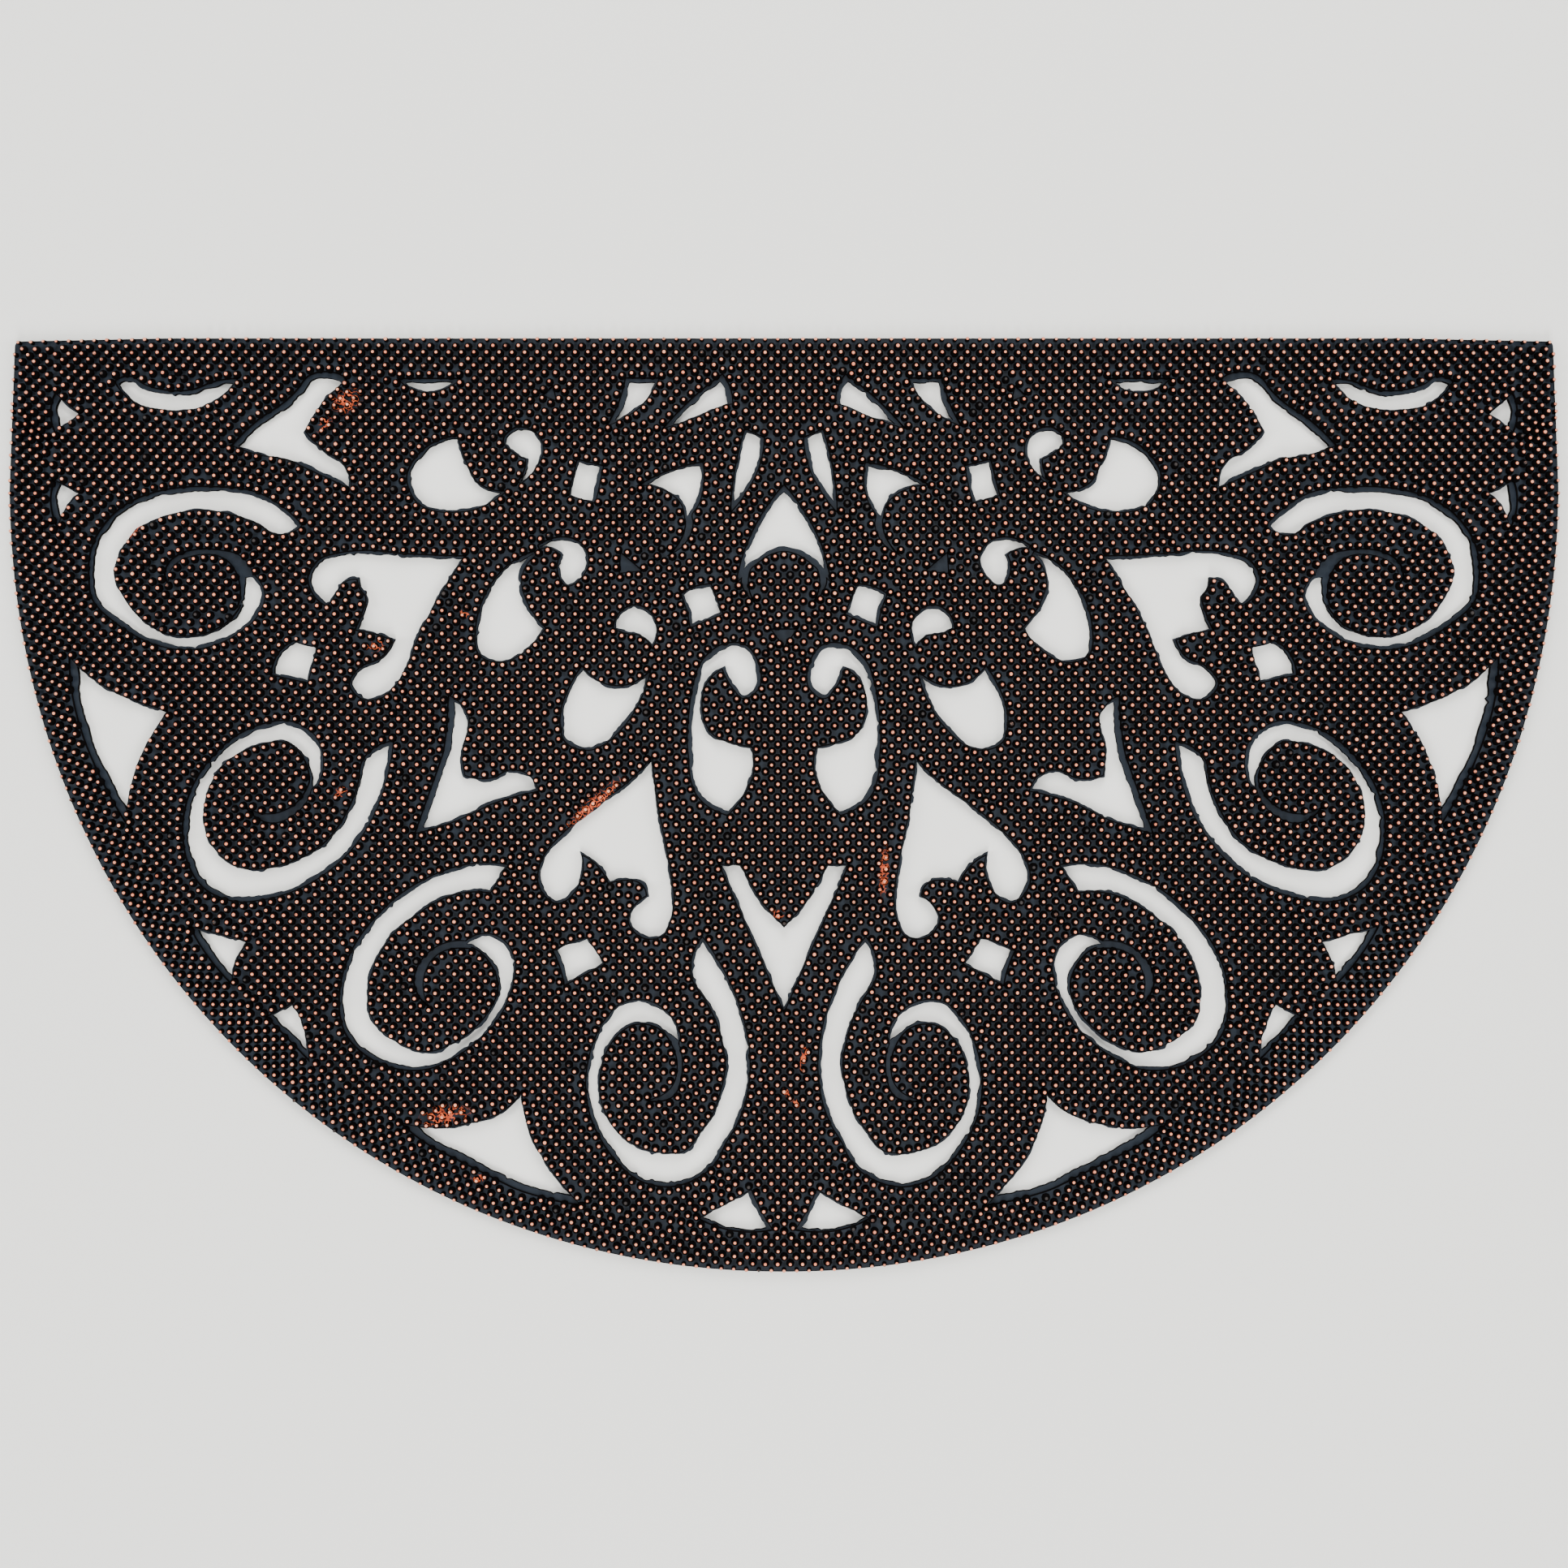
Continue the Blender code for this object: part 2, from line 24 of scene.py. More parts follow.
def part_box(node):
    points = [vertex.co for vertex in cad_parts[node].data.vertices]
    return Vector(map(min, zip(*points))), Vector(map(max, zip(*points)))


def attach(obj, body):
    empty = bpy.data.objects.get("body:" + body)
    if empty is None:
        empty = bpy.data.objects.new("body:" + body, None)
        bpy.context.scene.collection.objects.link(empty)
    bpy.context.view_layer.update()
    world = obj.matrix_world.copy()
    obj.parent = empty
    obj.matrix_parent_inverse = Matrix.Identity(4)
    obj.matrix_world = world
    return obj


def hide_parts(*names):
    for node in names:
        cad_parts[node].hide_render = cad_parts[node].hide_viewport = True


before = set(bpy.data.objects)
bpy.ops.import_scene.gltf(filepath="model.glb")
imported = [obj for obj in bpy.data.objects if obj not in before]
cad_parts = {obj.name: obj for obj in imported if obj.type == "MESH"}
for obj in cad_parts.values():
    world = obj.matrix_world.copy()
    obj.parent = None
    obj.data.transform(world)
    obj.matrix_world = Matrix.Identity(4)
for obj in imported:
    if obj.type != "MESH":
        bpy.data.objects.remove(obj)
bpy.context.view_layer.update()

MM = 0.001
mat_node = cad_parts["mat"]
LOW, HIGH = (Vector(corner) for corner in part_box("mat"))
print("mat box in mm:", [round(v / MM, 1) for v in HIGH - LOW])

# %% [markdown]
# ## Camera, floor and light
#
# The photograph looks straight down. The pins near the mat's rim lean outwards in it by more than a
# millimetre, which only happens close up: with pins about 4 mm tall the lens is about a metre above
# the floor. The picture is 762 mm wide at the floor, and the mat lies a little below its middle.
#
# The floor is plain and pale. Black rubber under a lamp straight overhead would mirror it back into
# the lens and turn grey. Four softboxes stand well out to the sides instead, so their mirror images
# miss the lens: the flat rubber stays dark, the shadows are soft and even, and only the painted
# tips, which scatter light every way, are bright. A weak fifth one overhead gives the middle of the
# mat its faint slate sheen.

# %% Camera
CAMERA_HEIGHT = 1.06
VIEW_WIDTH = 0.762
VIEW_CENTRE_Y = 0.0102
SENSOR = 36.0

camera_data = bpy.data.cameras.new("overhead_camera")
camera_data.sensor_width = SENSOR
camera_data.lens = SENSOR * CAMERA_HEIGHT / VIEW_WIDTH
camera = bpy.data.objects.new("overhead_camera", camera_data)
camera.location = (0.0, VIEW_CENTRE_Y, CAMERA_HEIGHT)
bpy.context.scene.collection.objects.link(camera)
bpy.context.scene.camera = camera
print(f"lens {camera_data.lens:.1f} mm at {CAMERA_HEIGHT} m")

# %% [markdown]
# Every colour here is an sRGB hex value, as a colour picker shows it, but Blender mixes light in
# linear values. One function makes the change. A second one adds a shader node with its settings
# and links, so that each material reads as a list of what feeds what.

# %% Colours and nodes
def linear(hex_colour):
    """An sRGB hex colour as Blender's linear red, green, blue and alpha."""
    parts = [int(hex_colour[i:i + 2], 16) / 255 for i in (1, 3, 5)]
    return (*(p / 12.92 if p <= 0.04045 else ((p + 0.055) / 1.055) ** 2.4 for p in parts), 1.0)


def add_node(tree, kind, links=None, inputs=None, **settings):
    """Add a node: its settings, the values on its sockets and the sockets linked into it."""
    node = tree.nodes.new(kind)
    for name, value in settings.items():
        setattr(node, name, value)
    for name, value in (inputs or {}).items():
        node.inputs[name].default_value = value
    for name, source in (links or {}).items():
        tree.links.new(source, node.inputs[name])
    return node


def new_material(name, roughness, ior, metallic=0.0):
    """A material with its Principled shader set from the real one's typical values."""
    material = bpy.data.materials.new(name)
    material.use_nodes = True
    shader = material.node_tree.nodes["Principled BSDF"]
    shader.inputs["Roughness"].default_value = roughness
    shader.inputs["IOR"].default_value = ior
    shader.inputs["Metallic"].default_value = metallic
    return material, material.node_tree, shader


print("mid grey #808080 is", round(linear("#808080")[0], 3), "in linear light")

# %% [markdown]
# The floor is matt and pale, and big enough to fill the picture. It isn't part of the mat.

# %% Floor
FLOOR_SIZE = 3.0
FLOOR_COLOUR = "#ECEBE5"

bpy.ops.mesh.primitive_plane_add(size=FLOOR_SIZE, location=(0, 0, 0))
floor = bpy.context.object
floor.name = "floor"
floor_material, _, floor_shader = new_material("matt_pale_floor", roughness=0.6, ior=1.45)
floor_shader.inputs["Base Color"].default_value = linear(FLOOR_COLOUR)
floor.data.materials.append(floor_material)
print("floor", FLOOR_COLOUR, FLOOR_SIZE, "m wide")

# %% [markdown]
# A studio's softboxes are flat panels, so square area lamps stand in for them, each turned to the
# middle of the mat. The dim world around them is a little blue, as a room's shade is, and tints
# what the lamps don't reach.

# %% Light
SOFTBOX_WIDTH = 1.1
SOFTBOXES = (
    # name, power in watts, place in metres
    ("softbox_left", 62.0, (-2.3, 0.0, 1.9)),
    ("softbox_right", 62.0, (2.3, 0.0, 1.9)),
    ("softbox_near", 62.0, (0.0, -1.7, 1.6)),
    ("softbox_far", 62.0, (0.0, 1.7, 1.6)),
    ("softbox_overhead", 9.0, (0.0, 0.0, 2.2)),
)
WORLD_COLOUR = "#DDE6F2"
WORLD_STRENGTH = 0.1

for name, power, place in SOFTBOXES:
    lamp_data = bpy.data.lights.new(name, "AREA")
    lamp_data.energy = power
    lamp_data.size = SOFTBOX_WIDTH
    lamp = bpy.data.objects.new(name, lamp_data)
    lamp.location = place
    lamp.rotation_euler = (-lamp.location).to_track_quat("-Z", "Y").to_euler()
    bpy.context.scene.collection.objects.link(lamp)

world = bpy.data.worlds.new("dim_room")
world.use_nodes = True
world.node_tree.nodes["Background"].inputs["Color"].default_value = linear(WORLD_COLOUR)
world.node_tree.nodes["Background"].inputs["Strength"].default_value = WORLD_STRENGTH
bpy.context.scene.world = world
print(len(SOFTBOXES), "softboxes with", sum(power for _, power, _ in SOFTBOXES), "W in all")

# %% [markdown]
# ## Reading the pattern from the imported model
#
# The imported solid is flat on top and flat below. The rim of its top face is the moulded step: the
# mat's outline and one line round every cell. The rim of its underside is the cut: the same outline
# and one line round every opening. An edge is on a rim when only one of its faces lies at that
# height, and such edges join end to end into closed loops.

# %% Rims of the flat faces
WELD_DISTANCE = 1e-6
SAME_LEVEL = 1e-5


def rims(mesh, height):
    """The closed loops round a mesh's flat faces at a height, as arrays of x and y in mm."""
    shape = bmesh.new()
    shape.from_mesh(mesh)
    bmesh.ops.remove_doubles(shape, verts=shape.verts, dist=WELD_DISTANCE)
    for table in (shape.verts, shape.faces):
        table.index_update()
        table.ensure_lookup_table()
    flat = [all(abs(v.co.z - height) < SAME_LEVEL for v in face.verts) for face in shape.faces]
    following = {}
    for face in shape.faces:
        for loop in face.loops if flat[face.index] else ():
            if not any(flat[other.index] for other in loop.edge.link_faces if other != face):
                following.setdefault(loop.vert.index, []).append(loop.link_loop_next.vert.index)
    loops = []
    while following:
        first = next(iter(following))
        ring, here = [], first
        while here in following:
            ring.append(here)
            ahead = following[here].pop()
            if not following[here]:
                del following[here]
            here = ahead
        loops.append(np.array([shape.verts[i].co.xy[:] for i in ring]) / MM)
    shape.free()
    return sorted(loops, key=lambda ring: -np.ptp(ring[:, 0]))


step_rims = rims(mat_node.data, HIGH.z)
cut_rims = rims(mat_node.data, LOW.z)
outline, cells, openings = step_rims[0], step_rims[1:], cut_rims[1:]
print(len(cells), "moulded cells,", len(openings), "openings,",
      sum(len(ring) for ring in step_rims + cut_rims), "rim points")

# %% [markdown]
# ## Smooth lines
#
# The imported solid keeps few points, so a curve is drawn through them again. A point where the line
# turns sharply stays a corner. At any other point the direction is weighed from its two neighbours,
# as on a circle through the three, and a cubic joins one point to the next. Blender's own curves
# could smooth the line too, but with these few sums the corners and long straights stay exact.

# %% Lines through points
SHARP_TURN = math.radians(55)
STRAIGHT_OVER = 30.0
NO_LENGTH = 1e-9


def unit(vectors):
    """Vectors made one long."""
    return vectors / np.maximum(np.linalg.norm(vectors, axis=1, keepdims=True), NO_LENGTH)


def mirrored_in(chord, direction):
    """A direction mirrored in a chord, which makes the joining curve a plain arc."""
    return 2 * (direction * chord).sum(axis=1, keepdims=True) * chord - direction


def drawn(ring, step):
    """A closed loop through a ring's points, smooth but for its sharp corners."""
    ahead = np.roll(ring, -1, axis=0) - ring
    length = np.linalg.norm(ahead, axis=1, keepdims=True)
    chord = ahead / length
    behind = np.roll(chord, 1, axis=0)
    sharp = ((chord * behind).sum(axis=1) < math.cos(SHARP_TURN))[:, None]
    length_behind = np.roll(length, 1, axis=0)
    middle = unit(chord * length_behind + behind * length)
    middle = np.where(length > STRAIGHT_OVER, chord, middle)
    middle = np.where(length_behind > STRAIGHT_OVER, behind, middle)
    sharp_next, middle_next = np.roll(sharp, -1, axis=0), np.roll(middle, -1, axis=0)
    leave = np.where(sharp, np.where(sharp_next, chord, mirrored_in(chord, middle_next)), middle)
    arrive = np.where(sharp_next, np.where(sharp, chord, mirrored_in(chord, middle)), middle_next)
    leave = np.where(length > STRAIGHT_OVER, chord, leave)
    arrive = np.where(length > STRAIGHT_OVER, chord, arrive)
    points = []
    for i, start in enumerate(ring):
        count = max(1, math.ceil(length[i, 0] / step))
        t = (np.arange(count) / count)[:, None]
        end = start + ahead[i]
        points.append(start * (2 * t**3 - 3 * t**2 + 1) + end * (3 * t**2 - 2 * t**3)
                      + length[i] * (leave[i] * (t**3 - 2 * t**2 + t) + arrive[i] * (t**3 - t**2)))
    return np.concatenate(points)


def tree_of(points):
    """A search tree over points."""
    tree = KDTree(len(points))
    for i, (x, y) in enumerate(points):
        tree.insert((x, y, 0), i)
    tree.balance()
    return tree


def nearest(points, targets):
    """The distance from each point to the nearest of the targets."""
    tree = tree_of(targets)
    return np.array([tree.find((x, y, 0))[2] for x, y in points])


print("a 10 mm square drawn at 1 mm:", len(drawn(np.array([(0, 0), (10, 0), (10, 10), (0, 10)]), 1)))

# %% [markdown]
# ## A hand-cut edge
#
# The moulded step is as clean as its steel mould. The openings are trimmed with a knife along that
# step, and the knife wanders: slow waves of some tenths of a millimetre, a finer tremble and now and
# then a nick. Displacement by a noise texture would do much the same, but a seeded wander along the
# line keeps its length scales in millimetres, and it can be held back so that the cut never crosses
# the step and keeps its corners.

# %% The knife's wander
KNIFE_SEED = 11
FEWEST_WAVES = 3
SLOW_WAVE, SLOW_EVERY = 0.6, 6.0
TREMBLE, TREMBLE_EVERY = 0.25, 1.6
NICK, NICK_EVERY, NICK_WIDTH = 1.0, 50.0, 1.8
CLEAR_OF_STEP = 0.2
MOST_LEFT_ON = 0.8
STEADY_NEAR_CORNER = 0.15
TIGHT_BEND = math.radians(45)
LINE_STEP = 1.05
KNIFE_STEP = 0.7


def wander(rng, along, total, every):
    """Smooth random values from -1 to 1 round a loop, a new one every so many millimetres."""
    count = max(FEWEST_WAVES, round(total / every))
    values = rng.uniform(-1, 1, count)
    at = along / total * count
    low, part = at.astype(int) % count, at % 1
    part = part * part * (3 - 2 * part)
    return values[low] * (1 - part) + values[(low + 1) % count] * part


def knife_cut(ring, rng, step_points):
    """A drawn loop moved in and out as a hand-held knife would."""
    along_line = unit(np.roll(ring, -1, axis=0) - np.roll(ring, 1, axis=0))
    sideways = along_line[:, ::-1] * (1, -1)
    steps = np.linalg.norm(np.roll(ring, -1, axis=0) - ring, axis=1)
    along, total = np.cumsum(steps) - steps, steps.sum()
    push = (SLOW_WAVE * wander(rng, along, total, SLOW_EVERY)
            + TREMBLE * wander(rng, along, total, TREMBLE_EVERY))
    for _ in range(rng.poisson(total / NICK_EVERY)):
        away = (along - rng.uniform(0, total) + total / 2) % total - total / 2
        push += rng.choice((-1, 1)) * NICK * np.exp(-(away / NICK_WIDTH * 2) ** 2)
    room = np.maximum(nearest(ring, step_points) - CLEAR_OF_STEP, 0)
    left_on = np.full(len(ring), MOST_LEFT_ON)
    chord = unit(np.roll(ring, -2, axis=0) - ring)
    corners = ring[(chord * np.roll(chord, 2, axis=0)).sum(axis=1) < math.cos(TIGHT_BEND)]
    if len(corners):
        steady = STEADY_NEAR_CORNER * nearest(ring, corners)
        room, left_on = np.minimum(room, steady), np.minimum(left_on, steady)
    return ring + sideways * np.clip(push, -left_on, room)[:, None]


knife_rng = np.random.default_rng(KNIFE_SEED)
outline_drawn = drawn(outline, LINE_STEP)
cells_drawn = [drawn(ring, LINE_STEP) for ring in cells]
step_points = np.concatenate([outline_drawn, *cells_drawn])
openings_cut = [knife_cut(drawn(ring, KNIFE_STEP), knife_rng, step_points) for ring in openings]
print(len(step_points), "points on the step,", sum(map(len, openings_cut)), "on the cut edges")

# %% [markdown]
# ## The base in two layers
#
# The base is a thin web with openings and, on it, the raised ribbons that the pins stand on. A flat
# 2D curve fills itself between its loops and gives both layers at once: the outer loop is the edge
# and each inner loop is a hole. Extruding gives it a thickness and a small bevel rounds the rim, as
# a mould cut with a ball-nosed tool does. That rounding, whose steep faces are coloured near black as
# painted shade, draws the thin dark line beside every ribbon when seen from above.

# %% Web and ribbons
WEB_TOP = 3.0
RIBBON_TOP = 4.2
RIM_ROUNDING = 0.55
ROUNDING_STEPS = 1


def plate(name, loops, low, high, rounding):
    """A flat solid between two heights, filled between its loops, with rounded rims."""
    curve = bpy.data.curves.new(name, "CURVE")
    curve.dimensions = "2D"
    curve.fill_mode = "BOTH"
    curve.extrude = ((high - low) / 2 - rounding) * MM
    curve.bevel_depth = rounding * MM
    curve.bevel_resolution = ROUNDING_STEPS
    curve.offset = -rounding * MM
    for ring in loops:
        spline = curve.splines.new("POLY")
        spline.points.add(len(ring) - 1)
        spline.use_cyclic_u = True
        flat = np.column_stack([ring * MM, np.zeros(len(ring)), np.ones(len(ring))])
        spline.points.foreach_set("co", flat.ravel())
    drawing = bpy.data.objects.new(name, curve)
    bpy.context.scene.collection.objects.link(drawing)
    graph = bpy.context.evaluated_depsgraph_get()
    mesh = bpy.data.meshes.new_from_object(drawing.evaluated_get(graph))
    bpy.data.objects.remove(drawing)
    bpy.data.curves.remove(curve)
    mesh.transform(Matrix.Translation((0, 0, (low + high) / 2 * MM)))
    shape = bmesh.new()
    shape.from_mesh(mesh)
    bmesh.ops.remove_doubles(shape, verts=shape.verts, dist=WELD_DISTANCE)
    bmesh.ops.recalc_face_normals(shape, faces=shape.faces)
    shape.to_mesh(mesh)
    shape.free()
    piece = bpy.data.objects.new(name, mesh)
    bpy.context.scene.collection.objects.link(piece)
    return piece


def measured(piece):
    """A piece's name, number of triangles and reach in mm, as a line to print."""
    places = np.array([v.co[:] for v in piece.data.vertices]) / MM
    count = sum(len(face.vertices) - 2 for face in piece.data.polygons)
    return f"{piece.name}: {count} triangles, {places.min(0).round(2)} to {places.max(0).round(2)} mm"


web = plate("web", [outline_drawn, *openings_cut], 0.0, WEB_TOP, 0.0)
ribbons = plate("ribbons", [outline_drawn, *cells_drawn], WEB_TOP - RIM_ROUNDING, RIBBON_TOP,
                RIM_ROUNDING)
for piece in (web, ribbons):
    print(measured(piece))

# %% [markdown]
# ## Where the pins stand
#
# Three kinds of rows show on the real mat. Along the arc and the short sides, rows follow the
# outline. Every ribbon has a row close along each of its edges. All that is left is filled by a
# straight lattice, turned so that its rows run parallel to the straight edge. Rows of different
# kinds meet at odd angles, and there the mould maker shifted pins a little to share the room.
#
# The same order is used here. Each row is walked along, and a pin is set wherever it has enough
# room from those already there. Blender can scatter points over a face by itself, but those would be
# random, and a drilled mould is not. A pin never stands nearer to an edge than its narrowest foot
# allows, so the first thing needed is how far any place is from the nearest rim.

# %% How far a place is from the rims
NARROWEST_FOOT = 1.0
SLACK = 0.05
RIM_STEP = 0.4

rims_drawn = [drawn(ring, RIM_STEP) for ring in (outline, *cells)]
rim_points = np.concatenate(rims_drawn)
rim_chords = [unit(np.roll(ring, -1, axis=0) - ring) for ring in rims_drawn]
rim_ahead = np.concatenate([chords + np.roll(chords, 1, axis=0) for chords in rim_chords])
rim_left = rim_ahead[:, ::-1] * (-1, 1)
rim_tree = tree_of(rim_points)


def on_rubber(points):
    """How far each point is from the nearest rim, below zero off the rubber.

    Every rim runs with the rubber on its left, so the side of the nearest rim point tells.
    """
    gaps = []
    for x, y in points:
        place, index, gap = rim_tree.find((x, y, 0))
        side = (x - place.x) * rim_left[index, 0] + (y - place.y) * rim_left[index, 1]
        gaps.append(math.copysign(gap, side))
    return np.array(gaps)


def standing_room(points, from_rim=NARROWEST_FOOT - SLACK):
    """The points on the rubber that are at least so far from every rim."""
    return points[on_rubber(points) >= from_rim]


print("the mat's middle is", round(on_rubber([(0, 0)])[0], 1), "mm from a rim")

# %% [markdown]
# A row beside a line is the line moved sideways. Where the line turns a sharp corner the moved places
# would leave a gap, so they are fanned round it. Adding pins works like a queue: each place in turn
# gets a pin if no pin that stands already is too near.

# %% Rows beside a line, and adding pins
WALK_STEP = 0.5
FAN_OVER = 0.3
FAN_POINTS = 4
FAR_AWAY = 1e6


def beside(ring, distance):
    """Points on the rubber's side of a loop at a distance, fanned round its corners."""
    line = drawn(ring, WALK_STEP)
    ahead = unit(np.roll(line, -1, axis=0) - line)
    before = np.roll(ahead, 1, axis=0)
    points = []
    for place, first, last in zip(line, before, ahead):
        turns = abs(first[0] * last[1] - first[1] * last[0]) > FAN_OVER
        count = 1 + int(turns) * FAN_POINTS
        for part in np.linspace(0.5 / count, 1 - 0.5 / count, count):
            x, y = first * (1 - part) + last * part
            across = np.array((-y, x)) * distance / max(math.hypot(x, y), NO_LENGTH)
            points.append(place + across)
    return np.array(points)


def add_pins(pins, candidates, room):
    """Pins with each candidate added in turn where it has room from all that stand already."""
    taken = np.full((len(candidates) + len(pins), 2), FAR_AWAY)
    taken[:len(pins)] = pins
    count = len(pins)
    for point in candidates:
        gaps = taken[:count] - point
        if count == 0 or np.einsum("ij,ij->i", gaps, gaps).min() >= room * room:
            taken[count] = point
            count += 1
    return taken[:count]


print(len(beside(cells[0], 1.0)), "places beside the largest cell")

# %% [markdown]
# The border rows lie at fixed depths inside the outline. Every second row starts half a space later,
# which staggers them. They stop where inwards would be straight down, along the straight edge.

# %% Border rows
BORDER_ROWS = (1.3, 4.3, 7.5, 10.7, 13.9, 17.1)
BORDER_SPACING = 6.1
LEAST_RISE = -0.3


def border_rows():
    """Rows that follow the arc and the short sides, staggered from row to row."""
    line = drawn(outline, WALK_STEP)
    line = np.roll(line, -int(np.argmin(line[:, 1])), axis=0)
    ahead = unit(np.roll(line, -1, axis=0) - np.roll(line, 1, axis=0))
    inward = ahead[:, ::-1] * (-1, 1)
    steps = np.linalg.norm(np.roll(line, -1, axis=0) - line, axis=1)
    along, total = np.cumsum(steps) - steps, steps.sum()
    count = round(total / BORDER_SPACING)
    rows = []
    for row, depth in enumerate(BORDER_ROWS):
        at = (np.arange(count) + 0.5 * (row % 2)) * total / count
        place = np.column_stack([np.interp(at, along, line[:, axis]) for axis in (0, 1)])
        across = unit(np.column_stack([np.interp(at, along, inward[:, axis]) for axis in (0, 1)]))
        rows.append((place + across * depth)[across[:, 1] > LEAST_RISE])
    return np.concatenate(rows)


print(len(BORDER_ROWS), "border rows,", BORDER_SPACING, "mm from pin to pin")

# %% [markdown]
# The lattice is 6.11 mm from pin to pin and 3.16 mm from row to row, staggered. The straight edge of
# the real mat droops a little to its ends, and the first few rows droop with it.

# %% Lattice rows
ROW_GAP = 3.16
IN_ROW = 6.11
HALF_ROW = 62
STRAIGHT_EDGE_GAP = 1.0
STRAIGHT_EDGE_DROP = 2.0
DROOP_ROWS = 5

top_edge = outline[:, 1].max()
straight_edge = outline[outline[:, 1] > top_edge - STRAIGHT_EDGE_DROP]
straight_edge = straight_edge[np.argsort(straight_edge[:, 0])]


def lattice_rows():
    """Straight staggered rows, the first just inside the straight edge."""
    rows = []
    for row in range(int(np.ptp(outline[:, 1]) / ROW_GAP)):
        across = np.arange(-HALF_ROW, HALF_ROW + 1) * IN_ROW + 0.5 * IN_ROW * ((row + 1) % 2)
        droop = np.interp(across, *straight_edge.T) - top_edge
        level = top_edge + droop * max(0, 1 - row / DROOP_ROWS) - STRAIGHT_EDGE_GAP - row * ROW_GAP
        rows.append(np.column_stack([across, level]))
    return np.concatenate(rows)


print("straight edge droops by", round(np.ptp(straight_edge[:, 1]), 2), "mm")

# %% [markdown]
# The border goes first, then the edge rows and then the lattice, because on the real mat too the
# later kinds give way to the earlier ones. Last, a fine grid of spare places is tried, and a pin is
# set wherever a gap is still wide enough.

# %% Setting the pins
EDGE_ROW = 2.2
EDGE_SPACING = 4.5
BORDER_ROOM = 3.7
LATTICE_ROOM = 2.9
FILL_ROOM = 3.5
SPARE_STEP = 0.9
HALF_WIDTH, HALF_DEPTH = 374, 225

pins = add_pins(np.zeros((0, 2)), standing_room(border_rows()), BORDER_ROOM)
counts = [len(pins)]
for ring in cells:
    edge_places = standing_room(beside(ring, EDGE_ROW), EDGE_ROW - 2 * SLACK)
    pins = add_pins(pins, edge_places, EDGE_SPACING)
counts.append(len(pins))
pins = add_pins(pins, standing_room(lattice_rows()), LATTICE_ROOM)
counts.append(len(pins))
spare = np.array([(x, y) for y in np.arange(-HALF_DEPTH, HALF_DEPTH + 1, SPARE_STEP)
                  for x in np.arange(-HALF_WIDTH, HALF_WIDTH + 1, SPARE_STEP)])
spare = standing_room(spare[nearest(spare, pins) > FILL_ROOM], NARROWEST_FOOT + 2 * SLACK)
pins = add_pins(pins, spare, FILL_ROOM)
counts.append(len(pins))
print("pins after the border, edge rows, lattice and gaps:", counts)

# %% [markdown]
# ## Sharing the room
#
# Where rows of different kinds meet, some pins stand too close. The mould maker would shift them by
# eye. Here every two pins that are nearer than the shared room push each other apart a little, round
# after round. Pins of the border and edge rows give way less, and no pin moves off the rubber.

# %% Close neighbours share the room
SHARED_ROOM = 4.7
NEIGHBOURHOOD = 8.0
ROUNDS = 24
SHARE = 0.12
STIFF_ROWS = 0.35
STILL = 1e-6

tree = tree_of(pins)
pairs = np.array([(i, j) for i, (x, y) in enumerate(pins)
                  for _, j, _ in tree.find_range((x, y, 0), NEIGHBOURHOOD) if i != j])
give = np.where(np.arange(len(pins)) < counts[1], STIFF_ROWS, 1.0)[:, None]
from_rim = on_rubber(pins)
for _ in range(ROUNDS):
    apart = pins[pairs[:, 0]] - pins[pairs[:, 1]]
    gap = np.linalg.norm(apart, axis=1, keepdims=True)
    moves = np.zeros_like(pins)
    np.add.at(moves, pairs[:, 0], apart / gap * np.maximum(SHARED_ROOM - gap, 0) * SHARE)
    moved = pins + moves * give
    moved_from_rim = on_rubber(moved)
    allowed = moved_from_rim > np.minimum(from_rim, NARROWEST_FOOT + 4 * SLACK) - STILL
    pins = np.where(allowed[:, None], moved, pins)
    from_rim = np.where(allowed, moved_from_rim, from_rim)
print(len(pins), "pins, nearest to a rim:", round(from_rim.min(), 2), "mm")

# %% [markdown]
# ## One pin, eleven thousand times
#
# A pin is a blunt cone: the mould cavity is drilled with a tapered cutter, and the taper lets the
# hot rubber out again. The tip is a flat disc with a worn edge. One pin with eight sides is enough
# at this size, and numpy copies it to every place at once, which gives plain joined meshes. No two
# are quite alike: each has its own turn, lean, height and tip width. The feet reach down to the web,
# so a foot beside a moulded step stands out over it in a scallop, as on the real mat. A foot beside
# a cut edge was trimmed with it, so there the cone is drawn narrower.

# %% The pins' sizes
SIDES = 8
PIN_FOOT = WEB_TOP - 0.1
PIN_TOP = HIGH.z / MM
FOOT_TOP = RIBBON_TOP + 0.15
FULL_FOOT = 2.25
FOOT_OVERHANG = 0.1
FOOT_TAPER = 0.96
FOOT_SPREAD = 0.02
TIP_RADIUS = 0.74
TIP_FACE = 0.74
TIP_TO_FOOT = 0.95
TIP_SPREAD, TIP_RANGE = 0.07, (0.8, 1.15)
WORN_EDGE = 0.2
SHORTER, SHORTEST = 0.08, 0.25
LEAN, MOST_LEAN = 0.08, 0.22
PIN_SEED = 5

